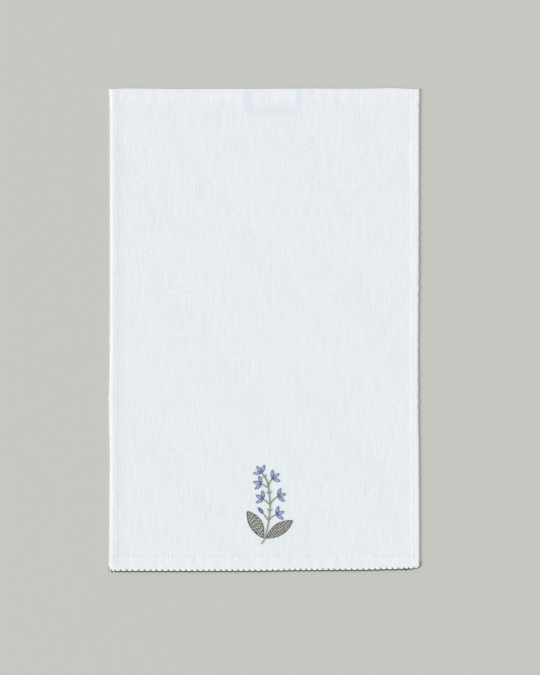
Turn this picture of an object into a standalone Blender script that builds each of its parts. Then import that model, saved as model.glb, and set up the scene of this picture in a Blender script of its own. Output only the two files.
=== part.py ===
"""White cotton tea towel, 45 x 70 cm, lying flat on its back.

Units are metres. X runs across the towel, +Y towards its top hem, +Z up. The origin is on
the surface it lies on, under the middle of the towel.

One length of cloth with turned hems, a thread sewn round its scalloped lower edge, a loop of
tape behind the top hem, and an embroidered flowering sprig.
"""

import math

import bmesh
import bpy
from mathutils import Vector

MM = 0.001

# The cloth, flat, and what its layers add
HALF_WIDTH = 225.0 * MM
TOP_EDGE = 351.55 * MM
LOWER_EDGE = -349.15 * MM
FIELD_THICK = 1.2 * MM
HEM_RISE = 1.0 * MM
CORNER_RISE = 0.4 * MM
STITCH_SINK = 0.3 * MM
EDGE_ROLL = 1.2 * MM
EDGE_THICK = 1.5 * MM
EDGE_START = 0.2
CLEAR = 0.3 * MM

# Hems, measured in from the edge of the cloth
SIDE_STITCH, SIDE_FOLD = 8.0 * MM, 11.4 * MM
END_STITCH, END_FOLD = 20.0 * MM, 21.4 * MM
STITCH_REACH = 1.2 * MM
FOLD_RUN = 1.3 * MM

# How far each side stands out past its mean line: y, left, right
SIDE_DRIFT = (
    (351.0 * MM, 0.4 * MM, 0.7 * MM),
    (320.0 * MM, -0.5 * MM, 0.0 * MM),
    (130.0 * MM, -0.7 * MM, -0.4 * MM),
    (-30.0 * MM, -0.6 * MM, -1.4 * MM),
    (-108.0 * MM, 0.6 * MM, -1.2 * MM),
    (-195.0 * MM, -0.6 * MM, -0.2 * MM),
    (-240.0 * MM, -0.3 * MM, 0.2 * MM),
    (-340.0 * MM, 0.4 * MM, 0.4 * MM),
)
# How far each end stands out past its mean line: x, top, lower
END_DRIFT = (
    (-225.0 * MM, -0.5 * MM, 0.3 * MM),
    (-200.0 * MM, 0.4 * MM, 0.3 * MM),
    (-120.0 * MM, -0.4 * MM, 0.3 * MM),
    (-15.0 * MM, -0.2 * MM, 0.1 * MM),
    (60.0 * MM, 0.2 * MM, -1.0 * MM),
    (140.0 * MM, 0.0 * MM, -1.3 * MM),
    (182.0 * MM, 0.8 * MM, -2.3 * MM),
    (225.0 * MM, -0.5 * MM, -3.6 * MM),
)
DRIFT_FADE = 30.0 * MM
TOP_CORNER, LEFT_CORNER, RIGHT_CORNER = 1.5 * MM, 2.5 * MM, 5.0 * MM

# Blanket stitch round the lower edge
THREAD = 0.85 * MM
THREAD_HIGH = 1.0 * MM
LEG = 0.4 * MM
LEG_RISE, LEG_SLANT = 3.0 * MM, 2.0 * MM
SCALLOP_DEEP = 1.0 * MM
SCALLOP_LOWEST = 0.35
NOTCH_SINK = 0.35 * MM
FIRST_NOTCH, NOTCH_PITCH, NOTCHES = -208.1 * MM, 8.404 * MM, 50
LEG_SHARES = (0.0, 0.25, 0.5, 0.75)
CORNER_NOTCHES = (-221.2 * MM, -216.2 * MM, 209.6 * MM, 216.8 * MM)
# How far the evenly spaced notches stray to the right: x, distance
NOTCH_DRIFT = (
    (-208.0 * MM, 0.0 * MM),
    (-110.0 * MM, 2.4 * MM),
    (0.0 * MM, 2.2 * MM),
    (110.0 * MM, -1.0 * MM),
    (204.0 * MM, -0.3 * MM),
)
THREAD_LEFT_END, THREAD_RIGHT_END = -343.5 * MM, -336.3 * MM
CORNER_STEPS = 4

# Loop of tape behind the top hem
LOOP_LEFT, LOOP_RIGHT = -25.2 * MM, 48.5 * MM
LOOP_TOP, LOOP_BASE = 343.3 * MM, 319.4 * MM
LOOP_BEND = 12.0 * MM
TAPE_HALF, TAPE_THICK = 6.0 * MM, 1.0 * MM
POCKET_MARGIN = 0.8 * MM
BUMP_FULL, BUMP_RUN = 7.5 * MM, 8.0 * MM
BEND_STEPS = 6

# Grid of the cloth: rows over the field, rows round the loop's base, cuts in each scallop
FIELD_ROWS = 15
LOOP_ROWS = (-6.0 * MM, 0.0 * MM, 6.0 * MM)
LOOP_ROOM = 14.0 * MM
SCALLOP_CUTS = 3
WIDE_STEP = 5.0 * MM
WELD = 0.001 * MM
FLAT_ANGLE, FOLD_ANGLE = math.radians(0.01), math.radians(50)

# Slow waves in the cloth: length along x, length along y, turn, height
WAVES = (
    (310.0 * MM, 190.0 * MM, 0.4, 0.09 * MM),
    (140.0 * MM, 260.0 * MM, 1.9, 0.06 * MM),
    (95.0 * MM, 120.0 * MM, 4.1, 0.05 * MM),
)
HEM_PUCKERS = ((31.0 * MM, 0.7, 0.10 * MM), (17.0 * MM, 2.6, 0.06 * MM))

# The sprig: the main stem's points, from its tail to its top
STEM = tuple(
    (x * MM, y * MM)
    for x, y in (
        (-5.3, -310.8),
        (0.1, -302.3),
        (3.1, -288.7),
        (5.3, -276.9),
        (6.7, -262.9),
        (7.2, -254.0),
        (6.2, -237.8),
        (4.8, -229.3),
        (3.3, -221.2),
        (0.1, -214.3),
        (-3.2, -209.3),
    )
)
STEM_HALF, BRANCH_HALF, BRACT_HALF = 0.85 * MM, 0.7 * MM, 0.6 * MM
BRACT_LONG, BRACT_SPREAD = 4.8 * MM, math.radians(48)
# Flowers: name, place of the base, way it faces in degrees, and the stem point it grows from
FLOWERS = (
    ("flower_1", (16.5 * MM, -267.9 * MM), 20, 3),
    ("flower_2", (-1.7 * MM, -245.4 * MM), 153, 5),
    ("flower_3", (18.7 * MM, -241.4 * MM), 16, 5),
    ("flower_4", (-4.4 * MM, -223.4 * MM), 165, 7),
    ("flower_5", (10.6 * MM, -215.3 * MM), 33, 7),
    ("flower_6", (-4.3 * MM, -207.7 * MM), 127, None),
)
BUD = ("bud", (-1.7 * MM, -267.3 * MM), 130, 3)
BRACTS_AT = (4, 6, 9)
PETAL_LONG, PETAL_HALF, PETAL_FAN = 13.0 * MM, 2.6 * MM, 54
RIGHT_BOW, LEFT_BOW = 1.3 * MM, 0.3 * MM
STALK_PARTS = 3
PETAL_LIFT = 0.04 * MM
# Leaves: name, root, tip, half width, sideways bow of the rib
LEAVES = (
    ("leaf_left", (-1.7 * MM, -302.6 * MM), (-25.9 * MM, -262.5 * MM), 9.3 * MM, -1.1 * MM),
    ("leaf_right", (2.0 * MM, -302.6 * MM), (41.0 * MM, -276.5 * MM), 8.9 * MM, 0.4 * MM),
)
PAD_THICK = 0.6 * MM
LOBE_TIP = 0.4 * MM
PAD_RIM = 0.45
PETAL_FULL, LEAF_FULL = 0.6, 0.8
BRANCH_GAP = 1.25 * MM


def smooth(share):
    """0 to 1 with level ends."""
    share = min(max(share, 0.0), 1.0)
    return share * share * (3.0 - 2.0 * share)


def drift(table, column, place):
    """Reads a drift table, whose rows run either way, with level ends between rows."""
    rows = sorted(table)
    if place <= rows[0][0]:
        return rows[0][column]
    for low, high in zip(rows, rows[1:]):
        if place <= high[0]:
            share = smooth((place - low[0]) / (high[0] - low[0]))
            return low[column] + share * (high[column] - low[column])
    return rows[-1][column]


def notches():
    """Where the legs of the blanket stitch pull the lower edge in, from left to right."""
    even = [FIRST_NOTCH + k * NOTCH_PITCH for k in range(NOTCHES)]
    return sorted([*CORNER_NOTCHES, *(x + drift(NOTCH_DRIFT, 1, x) for x in even)])


def scallop(x):
    """0 at a notch and 1 where the edge between two notches hangs lowest."""
    places = notches()
    for left, right in zip(places, places[1:]):
        if left <= x <= right:
            turn = math.log(0.5) / math.log(SCALLOP_LOWEST)
            return math.sin(math.pi * ((x - left) / (right - left)) ** turn)
    return 0.0


def loop_path():
    """Centre line of the tape: down one leg, along the base and up the other."""
    path = [(LOOP_LEFT, LOOP_TOP)]
    for centre_x, start in ((LOOP_LEFT + LOOP_BEND, 180), (LOOP_RIGHT - LOOP_BEND, 270)):
        for step in range(BEND_STEPS + 1):
            angle = math.radians(start + 90 * step / BEND_STEPS)
            x = centre_x + LOOP_BEND * math.cos(angle)
            path.append((x, LOOP_BASE + LOOP_BEND * (1 + math.sin(angle))))
    path.append((LOOP_RIGHT, LOOP_TOP))
    return path


def gap_to_loop(x, y):
    """Distance from a point to the tape's centre line."""
    nearest = math.inf
    path = loop_path()
    for (ax, ay), (bx, by) in zip(path, path[1:]):
        along_x, along_y = bx - ax, by - ay
        share = ((x - ax) * along_x + (y - ay) * along_y) / (along_x**2 + along_y**2)
        share = min(max(share, 0.0), 1.0)
        gap = math.hypot(x - ax - share * along_x, y - ay - share * along_y)
        nearest = min(nearest, gap)
    return nearest


def hem(depth, stitch, fold, along):
    """Height that a hem adds to the field at a depth in from the edge."""
    if depth > fold + FOLD_RUN:
        return 0.0
    rise = HEM_RISE * (1.0 - smooth((depth - fold) / FOLD_RUN))
    rise -= STITCH_SINK * (1.0 - smooth(abs(depth - stitch) / STITCH_REACH))
    for length, turn, height in HEM_PUCKERS:
        rise += height * math.sin(math.tau * along / length + turn) * smooth(depth / stitch)
    return rise


def cloth_top(x, y):
    """Height of the cloth's upper side over the surface, at a place on the flat towel."""
    side = hem(HALF_WIDTH - abs(x), SIDE_STITCH, SIDE_FOLD, y)
    end_depth = min(TOP_EDGE - y, y - LOWER_EDGE)
    end = hem(end_depth, END_STITCH, END_FOLD, x)
    high = FIELD_THICK + max(side, end) + CORNER_RISE * min(side, end) / HEM_RISE
    for long_x, long_y, turn, height in WAVES:
        high += height * math.sin(math.tau * (x / long_x + y / long_y) + turn)
    over_loop = 1.0 - smooth((gap_to_loop(x, y) - BUMP_FULL) / BUMP_RUN)
    loop_high = TAPE_THICK + CLEAR + FIELD_THICK + 0.3 * max(side, end)
    high = max(high, high + (loop_high - high) * over_loop)
    notch_near = 1.0 - smooth((y - LOWER_EDGE) / LEG_RISE)
    high -= NOTCH_SINK * notch_near * (1.0 - scallop(x))
    edge = min(HALF_WIDTH - abs(x), end_depth)
    rolled = smooth(edge / EDGE_ROLL + EDGE_START)
    return EDGE_THICK * (1.0 - rolled) + high * rolled


def rounded(x, y, corner_x, corner_y, radius):
    """Turns the square corner of the grid into a round one."""
    across = (x - corner_x) * math.copysign(1, -corner_x) / radius
    up = (y - corner_y) * math.copysign(1, -corner_y) / radius
    if across >= 1.0 or up >= 1.0:
        return x, y
    across, up = 1.0 - across, 1.0 - up
    pull = max(across, up) / math.hypot(across, up)
    x = corner_x + math.copysign(1, -corner_x) * radius * (1.0 - across * pull)
    y = corner_y + math.copysign(1, -corner_y) * radius * (1.0 - up * pull)
    return x, y


def outline(x, y):
    """Where a place on the flat rectangle lies on the real, slightly uneven towel."""
    left = smooth((-x - HALF_WIDTH + DRIFT_FADE) / DRIFT_FADE)
    right = smooth((x - HALF_WIDTH + DRIFT_FADE) / DRIFT_FADE)
    top = smooth((y - TOP_EDGE + DRIFT_FADE) / DRIFT_FADE)
    lower = smooth((LOWER_EDGE + DRIFT_FADE - y) / DRIFT_FADE)
    new_x, new_y = x, y
    for corner_x, corner_y, radius in (
        (-HALF_WIDTH, TOP_EDGE, TOP_CORNER),
        (HALF_WIDTH, TOP_EDGE, TOP_CORNER),
        (-HALF_WIDTH, LOWER_EDGE, LEFT_CORNER),
        (HALF_WIDTH, LOWER_EDGE, RIGHT_CORNER),
    ):
        new_x, new_y = rounded(new_x, new_y, corner_x, corner_y, radius)
    new_x += right * drift(SIDE_DRIFT, 2, y) - left * drift(SIDE_DRIFT, 1, y)
    new_y += top * drift(END_DRIFT, 1, x) - lower * drift(END_DRIFT, 2, x)
    near = 1.0 - smooth((y - LOWER_EDGE) / (2 * LEG_RISE))
    return new_x, new_y - SCALLOP_DEEP * near * scallop(x)


def material(name, colour, roughness):
    made = bpy.data.materials.new(name)
    made.use_nodes = True
    shader = made.node_tree.nodes["Principled BSDF"]
    shader.inputs["Base Color"].default_value = (*colour, 1.0)
    shader.inputs["Roughness"].default_value = roughness
    shader.inputs["Metallic"].default_value = 0.0
    return made


def bmesh_object(name, form, finish, home):
    bmesh.ops.recalc_face_normals(form, faces=form.faces[:])
    mesh = bpy.data.meshes.new(name)
    form.to_mesh(mesh)
    form.free()
    mesh.materials.clear()
    mesh.materials.append(finish)
    piece = bpy.data.objects.new(name, mesh)
    home.objects.link(piece)
    return piece


def form_from_curve(curve):
    """The closed shape that a curve makes, with its caps welded on."""
    guide = bpy.data.objects.new(curve.name, curve)
    bpy.context.scene.collection.objects.link(guide)
    bpy.context.view_layer.update()
    graph = bpy.context.evaluated_depsgraph_get()
    mesh = bpy.data.meshes.new_from_object(guide.evaluated_get(graph))
    form = bmesh.new()
    form.from_mesh(mesh)
    bpy.data.objects.remove(guide)
    bpy.data.meshes.remove(mesh)
    bmesh.ops.remove_doubles(form, verts=form.verts[:], dist=WELD)
    return form


def curve_mesh(name, lines, half, home, finish):
    """Round threads along lists of points, as one mesh whose caps are welded on."""
    curve = bpy.data.curves.new(name + "_line", "CURVE")
    curve.dimensions = "3D"
    curve.bevel_depth = half
    curve.bevel_resolution = 1
    curve.use_fill_caps = True
    for points in lines:
        spline = curve.splines.new("POLY")
        spline.points.add(len(points) - 1)
        for place, point in zip(spline.points, points):
            place.co = (*point, 1.0)
    piece = bmesh_object(name, form_from_curve(curve), finish, home)
    piece.data.shade_smooth()
    return piece


def hide_as_cutter(piece):
    piece.hide_render = True
    piece.display_type = "WIRE"


def combine(piece, other, operation):
    step = piece.modifiers.new(operation.lower() + "_" + other.name, "BOOLEAN")
    step.operation = operation
    step.object = other
    step.solver = "EXACT"
    hide_as_cutter(other)


def cloth_lines():
    """Columns and rows of the cloth's grid: close over the hems, wide over the field."""
    side = (0.0, EDGE_ROLL, 3.5 * MM, SIDE_STITCH - STITCH_REACH, SIDE_STITCH)
    side += (SIDE_STITCH + STITCH_REACH, SIDE_FOLD, SIDE_FOLD + FOLD_RUN)
    inner = [x for x in notches() if abs(x) < HALF_WIDTH - side[-1]]
    columns = [-HALF_WIDTH + d for d in side] + inner
    columns += [HALF_WIDTH - d for d in reversed(side)]
    end = (0.0, EDGE_ROLL, LEG_RISE, END_STITCH / 2, END_STITCH - STITCH_REACH, END_STITCH)
    end += (END_FOLD, END_FOLD + FOLD_RUN)
    low, high = LOWER_EDGE + end[-1], LOOP_BASE - LOOP_ROOM
    field = [low + (high - low) * k / FIELD_ROWS for k in range(1, FIELD_ROWS + 1)]
    around_loop = [LOOP_BASE + distance for distance in LOOP_ROWS]
    rows = [LOWER_EDGE + d for d in end] + field + around_loop
    rows += [TOP_EDGE - d for d in reversed(end)]
    return columns, rows


def make_cloth(finish, home, cutters):
    """The cloth: a grid laid over the uneven outline, given its hems and flat underside."""
    columns, rows = cloth_lines()
    form = bmesh.new()
    wide, tall = len(columns) - 1, len(rows) - 1
    bmesh.ops.create_grid(form, x_segments=wide, y_segments=tall, size=0.5)
    for point in form.verts:
        column = round((point.co.x + 0.5) * wide)
        row = round((point.co.y + 0.5) * tall)
        point.co = (columns[column], rows[row], 0.0)
    strip = LOWER_EDGE + LEG_RISE + WELD
    across = [
        edge
        for edge in form.edges
        if edge.verts[0].co.y == edge.verts[1].co.y < strip and edge.calc_length() > WIDE_STEP
    ]
    bmesh.ops.subdivide_edges(form, edges=across, cuts=SCALLOP_CUTS, use_grid_fill=True)
    under = set(form.verts)
    bmesh.ops.extrude_face_region(form, geom=form.faces[:])
    for point in form.verts:
        flat_x, flat_y = point.co.x, point.co.y
        high = 0.0 if point in under else cloth_top(flat_x, flat_y)
        point.co = (*outline(flat_x, flat_y), high)
    flat = [point for point in form.verts if point in under]
    seams = [edge for edge in form.edges if edge.verts[0] in under and edge.verts[1] in under]
    bmesh.ops.dissolve_limit(form, angle_limit=FLAT_ANGLE, verts=flat, edges=seams)
    cloth = bmesh_object("cloth", form, finish, home)
    cloth.data.shade_smooth()
    cloth.data.set_sharp_from_angle(angle=FOLD_ANGLE)
    pocket = tape_object("loop_pocket", TAPE_HALF + POCKET_MARGIN, finish, cutters)
    for point in pocket.data.vertices:
        point.co.z = -TAPE_THICK if point.co.z < TAPE_THICK / 2 else TAPE_THICK + CLEAR
        if point.co.y > LOOP_TOP - POCKET_MARGIN:
            point.co.y += POCKET_MARGIN
    combine(cloth, pocket, "DIFFERENCE")
    return cloth


def tape_object(name, half, finish, home):
    """A flat U of tape, its two rims worked out from the centre line."""
    path = [Vector(place) for place in loop_path()]
    rims = ([], [])
    for k, place in enumerate(path):
        way = (path[min(k + 1, len(path) - 1)] - path[max(k - 1, 0)]).normalized()
        side = Vector((-way.y, way.x)) * half
        rims[0].append(place + side)
        rims[1].append(place - side)
    curve = bpy.data.curves.new(name + "_outline", "CURVE")
    curve.dimensions = "2D"
    curve.fill_mode = "BOTH"
    curve.extrude = TAPE_THICK / 2
    spline = curve.splines.new("POLY")
    border = rims[0] + rims[1][::-1]
    spline.points.add(len(border) - 1)
    for place, point in zip(spline.points, border):
        place.co = (*point, 0.0, 1.0)
    spline.use_cyclic_u = True
    form = form_from_curve(curve)
    bmesh.ops.translate(form, verts=form.verts[:], vec=(0.0, 0.0, TAPE_THICK / 2))
    return bmesh_object(name, form, finish, home)


def edge_route():
    """The thread's centre line, round both lower corners and along the scallops."""
    away = THREAD + CLEAR
    route = []

    def add(flat_x, flat_y, out_x, out_y):
        x, y = outline(flat_x, flat_y)
        route.append((x + out_x * away, y + out_y * away, THREAD_HIGH))

    def add_corner(side, radius):
        corner = []
        for step in range(CORNER_STEPS + 1):
            angle = math.radians(90 * step / CORNER_STEPS)
            in_x, in_y = max(0, 1 - math.tan(angle)), max(0, 1 - 1 / math.tan(angle + WELD))
            place = (side * (HALF_WIDTH - radius * in_x), LOWER_EDGE + radius * in_y)
            corner.append((*place, side * math.sin(angle), -math.cos(angle)))
        for step in corner if side > 0 else reversed(corner):
            add(*step)

    places = notches()
    add(-HALF_WIDTH, THREAD_LEFT_END, -1, 0)
    add_corner(-1, LEFT_CORNER)
    for left, right in zip(places, places[1:]):
        parts = SCALLOP_CUTS + 1 if right - left > WIDE_STEP else 2
        for step in range(parts):
            add(left + (right - left) * step / parts, LOWER_EDGE, 0, -1)
    add(places[-1], LOWER_EDGE, 0, -1)
    add_corner(1, RIGHT_CORNER)
    add(HALF_WIDTH, THREAD_RIGHT_END, 1, 0)
    return route


def leg_routes():
    """Each leg rises from the edge thread, over the rolled edge, and slants back to the left."""
    legs = []
    for x in notches():
        foot_x, foot_y = outline(x, LOWER_EDGE)
        head_flat = (x - LEG_SLANT, LOWER_EDGE + LEG_RISE)
        head_x, head_y = outline(*head_flat)
        over = cloth_top(*head_flat) + CLEAR + LEG
        slant = [
            cloth_top(x - LEG_SLANT * share, LOWER_EDGE + LEG_RISE * share)
            for share in LEG_SHARES
        ]
        start = (foot_x, foot_y - THREAD - CLEAR, THREAD_HIGH)
        shoulder = (foot_x, foot_y - CLEAR, max(slant) + CLEAR + LEG)
        legs.append((start, shoulder, (head_x, head_y, over)))
    return legs


def make_edging(finish, home, cutters):
    thread = curve_mesh("edging", [edge_route()], THREAD, home, finish)
    legs = curve_mesh("edging_legs", leg_routes(), LEG, cutters, finish)
    combine(thread, legs, "UNION")
    return thread


def lobe(root, tip, half, full, bow=0.0, lift=0.0, long_parts=6, wide_parts=2):
    """A low embroidered pad from root to tip: pointed ends, crowned back, base along the cloth."""
    root, tip = Vector(root), Vector(tip)
    way = tip - root
    side = Vector((-way.y, way.x)).normalized()
    form = bmesh.new()
    bmesh.ops.create_grid(form, x_segments=long_parts, y_segments=wide_parts, size=0.5)
    under = set(form.verts)
    bmesh.ops.extrude_face_region(form, geom=form.faces[:])
    for point in form.verts:
        share, across = point.co.x + 0.5, point.co.y * 2.0
        spread = LOBE_TIP + (half - LOBE_TIP) * math.sin(math.pi * share) ** full
        place = root + way * share + side * (bow * math.sin(math.pi * share) + across * spread)
        base = cloth_top(*place) + CLEAR + lift
        crowned = (1.0 - across * across) * math.sin(math.pi * share)
        crown = PAD_THICK * (PAD_RIM + (1.0 - PAD_RIM) * crowned)
        point.co = (*place, base if point in under else base + crown)
    return form


def make_flower(name, base, facing, finish, home, cutters):
    """Three petals that share a base, fanned out to either side of the way the flower faces."""
    flower = None
    for k, turn in enumerate((0, PETAL_FAN, -PETAL_FAN)):
        angle = math.radians(facing + turn)
        way = Vector((math.cos(angle), math.sin(angle)))
        root = Vector(base) - way * LOBE_TIP
        end = Vector(base) + way * PETAL_LONG
        form = lobe(root, end, PETAL_HALF, PETAL_FULL, lift=k * PETAL_LIFT)
        if k == 0:
            flower = bmesh_object(name, form, finish, home)
        else:
            petal = bmesh_object(f"{name}_petal_{k}", form, finish, cutters)
            combine(flower, petal, "UNION")
    return flower


def on_cloth(place, half):
    return (*place, cloth_top(*place) + CLEAR + half)


def bowed(start, end, half, bow):
    """Points of a short branch from the stem to just short of what it carries."""
    start, end = Vector(start), Vector(end)
    way = end - start
    side = Vector((-way.y, way.x)).normalized()
    end = end - way.normalized() * BRANCH_GAP
    points = []
    for step in range(STALK_PARTS + 1):
        share = step / STALK_PARTS
        place = start.lerp(end, share) + side * bow * math.sin(math.pi * share)
        points.append(on_cloth(place, half))
    return points


def make_stem(finish, home, cutters):
    """The main stem, with the stalks of the flowers and the small paired bracts joined on."""
    points = [on_cloth(place, STEM_HALF) for place in STEM]
    stem = curve_mesh("stem", [points], STEM_HALF, home, finish)
    for name, base, facing, grows_from in (*FLOWERS, BUD):
        if grows_from is None:
            continue
        bow = RIGHT_BOW if base[0] > STEM[grows_from][0] else LEFT_BOW
        line = bowed(STEM[grows_from], base, BRANCH_HALF, bow)
        stalk = curve_mesh("stalk_" + name, [line], BRANCH_HALF, cutters, finish)
        combine(stem, stalk, "UNION")
    for at in BRACTS_AT:
        here = Vector(STEM[at])
        way = (Vector(STEM[at + 1]) - Vector(STEM[at - 1])).normalized()
        heading = math.atan2(way.y, way.x)
        for side in (-1, 1):
            angle = heading + side * BRACT_SPREAD
            tip = here + Vector((math.cos(angle), math.sin(angle))) * BRACT_LONG
            line = [on_cloth(here, BRACT_HALF), on_cloth(tip, BRACT_HALF)]
            bract = curve_mesh(f"bract_{at}_{side + 1}", [line], BRACT_HALF, cutters, finish)
            combine(stem, bract, "UNION")
    return stem


def main():
    for old in list(bpy.data.objects):
        bpy.data.objects.remove(old)
    home = bpy.data.collections.new("tea_towel")
    cutters = bpy.data.collections.new("cutters")
    bpy.context.scene.collection.children.link(home)
    bpy.context.scene.collection.children.link(cutters)
    cotton = material("white_cotton", (0.83, 0.86, 0.89), 0.9)
    grey_green = material("grey_green_thread", (0.093, 0.109, 0.080), 0.7)
    tape = material("pale_blue_tape", (0.55, 0.64, 0.78), 0.85)
    blue = material("blue_thread", (0.226, 0.266, 0.434), 0.6)
    green = material("sage_thread", (0.30, 0.36, 0.26), 0.6)
    taupe = material("taupe_thread", (0.17, 0.17, 0.145), 0.65)
    make_cloth(cotton, home, cutters)
    make_edging(grey_green, home, cutters)
    tape_object("hanging_loop", TAPE_HALF, tape, home)
    make_stem(green, home, cutters)
    for name, root, tip, half, bow in LEAVES:
        form = lobe(root, tip, half, LEAF_FULL, bow, long_parts=12, wide_parts=6)
        bmesh_object(name, form, taupe, home)
    for name, base, facing, _grows_from in FLOWERS:
        make_flower(name, base, facing, blue, home, cutters)
    name, base, facing, _grows_from = BUD
    angle = math.radians(facing)
    tip = Vector(base) + Vector((math.cos(angle), math.sin(angle))) * PETAL_LONG
    bmesh_object(name, lobe(base, tip, PETAL_HALF, PETAL_FULL), blue, home)


main()
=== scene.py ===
import math

import bmesh
import bpy
import numpy as np
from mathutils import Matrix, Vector


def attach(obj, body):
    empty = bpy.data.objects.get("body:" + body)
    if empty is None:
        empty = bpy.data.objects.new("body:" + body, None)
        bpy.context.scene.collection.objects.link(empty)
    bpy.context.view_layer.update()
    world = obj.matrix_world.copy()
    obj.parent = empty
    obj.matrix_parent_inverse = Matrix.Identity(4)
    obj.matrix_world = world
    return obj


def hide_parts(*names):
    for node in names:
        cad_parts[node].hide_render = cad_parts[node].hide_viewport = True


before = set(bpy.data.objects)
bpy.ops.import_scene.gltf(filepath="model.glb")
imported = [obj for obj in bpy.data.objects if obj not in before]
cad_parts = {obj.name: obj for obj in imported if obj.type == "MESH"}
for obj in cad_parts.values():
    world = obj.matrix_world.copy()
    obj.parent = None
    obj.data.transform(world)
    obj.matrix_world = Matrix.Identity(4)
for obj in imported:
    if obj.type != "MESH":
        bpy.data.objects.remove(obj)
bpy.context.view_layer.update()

# Studio. A plain pale floor under soft window light from the left and a little from the
# towel's lower end, with even fill from all round. The camera looks straight down, as the
# photograph was taken, and sees 785 x 982 mm of the floor.
mm = 0.001
view_long = 981.8 * mm
view_centre = (7.8 * mm, -10.55 * mm)
camera_high = 2.6
floor_side = 40.0
floor_drop = 0.05 * mm
floor_tone = "C7C8C2"
window_side, window_low, window_high = -1.0, -0.16, 0.42
window_soft = math.radians(26)
window_power = 3.1
fill_power = 0.60


def linear(hex_colour):
    """An sRGB hex colour as linear RGBA."""
    shares = [int(hex_colour[k : k + 2], 16) / 255 for k in (0, 2, 4)]
    return [s / 12.92 if s <= 0.04045 else ((s + 0.055) / 1.055) ** 2.4 for s in shares] + [1.0]


def new_material(name):
    """A material with its node tree and its shader."""
    material = bpy.data.materials.new(name)
    material.use_nodes = True
    return material, material.node_tree, material.node_tree.nodes["Principled BSDF"]


camera = bpy.data.objects.new("camera", bpy.data.cameras.new("camera"))
bpy.context.scene.collection.objects.link(camera)
camera.location = (*view_centre, camera_high)
camera.data.lens = camera.data.sensor_width * camera_high / view_long
bpy.context.scene.camera = camera
bpy.context.scene.view_settings.view_transform = "Standard"

window = bpy.data.objects.new("window_light", bpy.data.lights.new("window_light", "SUN"))
window.data.energy = window_power
window.data.angle = window_soft
towards = Vector((window_side, window_low, window_high))
window.rotation_euler = towards.to_track_quat("Z", "Y").to_euler()
bpy.context.scene.collection.objects.link(window)

world = bpy.data.worlds.new("studio_fill")
world.use_nodes = True
world.node_tree.nodes["Background"].inputs["Color"].default_value = (1.0, 1.0, 1.0, 1.0)
world.node_tree.nodes["Background"].inputs["Strength"].default_value = fill_power
bpy.context.scene.world = world

# The floor is matt painted board, one even tone.
painted, tree, shader = new_material("matt_painted_board")
shader.inputs["Base Color"].default_value = linear(floor_tone)
shader.inputs["Roughness"].default_value = 0.85
form = bmesh.new()
bmesh.ops.create_grid(form, x_segments=1, y_segments=1, size=floor_side / 2)
bmesh.ops.translate(form, verts=form.verts[:], vec=(0, 0, -floor_drop))
floor = bpy.data.objects.new("floor", bpy.data.meshes.new("floor"))
form.to_mesh(floor.data)
form.free()
floor.data.materials.append(painted)
bpy.context.scene.collection.objects.link(floor)

# The cloth: one length of plain-woven white cotton, 45 x 70 cm, with the sides turned in
# 12 mm and the ends 21 mm, each fold sewn down. It is one sheet, its hems three layers
# thick, its edges soft rolls, and its lower edge pulled into scallops by the thread there.
half_width = 225.0 * mm
top_edge, lower_edge = 351.55 * mm, -349.15 * mm
field_thick, corner_rise = 1.5 * mm, 0.3
side_fold, end_stitch, end_fold, fold_run = 11.4 * mm, 20.0 * mm, 21.4 * mm, 2.4 * mm
hem_parts = ("stitch", "fold", "step", "groove", "ramp", "ramp_from", "ramp_run")
hems = {
    "left": dict(zip(hem_parts, np.array((8.0, 11.4, 0.22, 0.2, 0.22, 9.5, 13.0)) * mm)),
    "right": dict(zip(hem_parts, np.array((9.1, 11.4, 0.17, 0.13, 0.3, 0.0, 17.0)) * mm)),
    "end": dict(zip(hem_parts, np.array((20.0, 21.4, 0.22, 0.2, 0.3, 0.0, 17.0)) * mm)),
}
groove_wide, pucker_reach = 0.8 * mm, 6.0 * mm
stitch_pitch, dimple_mean, dimple_swing = 4.45 * mm, 0.6, 0.65
roll_wide, roll_start, roll_under = 3.0 * mm, 0.9 * mm, 0.5 * mm
left_roll_wide, left_roll_start, left_roll_power = 6.5 * mm, 0.5, 2.6
side_drift = {
    "y": (-340, -240, -195, -108, -30, 130, 320, 351),
    "left": (0.8, 0.1, -0.3, 1.0, -0.2, -0.4, -0.2, 0.6),
    "right": (0.4, 0.2, -0.2, -1.2, -1.4, -0.4, 0.0, 0.7),
}
end_drift = {
    "x": (-225, -200, -120, -15, 60, 140, 182, 225),
    "top": (-0.5, 0.4, -0.4, -0.2, 0.2, 0.0, 0.8, -0.5),
    "lower": (0.3, 0.3, 0.3, 0.1, -1.0, -1.3, -2.3, -3.6),
}
drift_fade = 30.0 * mm
top_corner, left_corner, right_corner = 1.5 * mm, 2.5 * mm, 5.0 * mm
scallop_deep, scallop_lowest = 1.1 * mm, 0.38
notch_sink, leg_rise = 0.35 * mm, 2.8 * mm
corner_notches = (-221.2 * mm, -216.2 * mm, 209.6 * mm, 216.8 * mm)
even_notches = -208.1 * mm + 8.404 * mm * np.arange(50)
notch_drift = {"x": (-208, -110, 0, 110, 204), "right": (0.0, 2.4, 2.2, -1.0, -0.3)}
loop_left, loop_right, loop_top, loop_base = -25.2 * mm, 48.5 * mm, 343.3 * mm, 319.4 * mm
loop_bend, tape_half, tape_thick, tape_room = 12.0 * mm, 6.0 * mm, 0.6 * mm, 0.3 * mm
loop_swell, swell_run = 0.15 * mm, 20.0 * mm
sprig_middle, sprig_reach = (4.0 * mm, -262.0 * mm), (34.0 * mm, 62.0 * mm)
# Long waves of the field: length across and up in mm, start, height in mm.
long_waves = ((310, 190, 0.4, 0.09), (140, 260, 1.9, 0.06), (95, 120, 4.1, 0.05))
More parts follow.
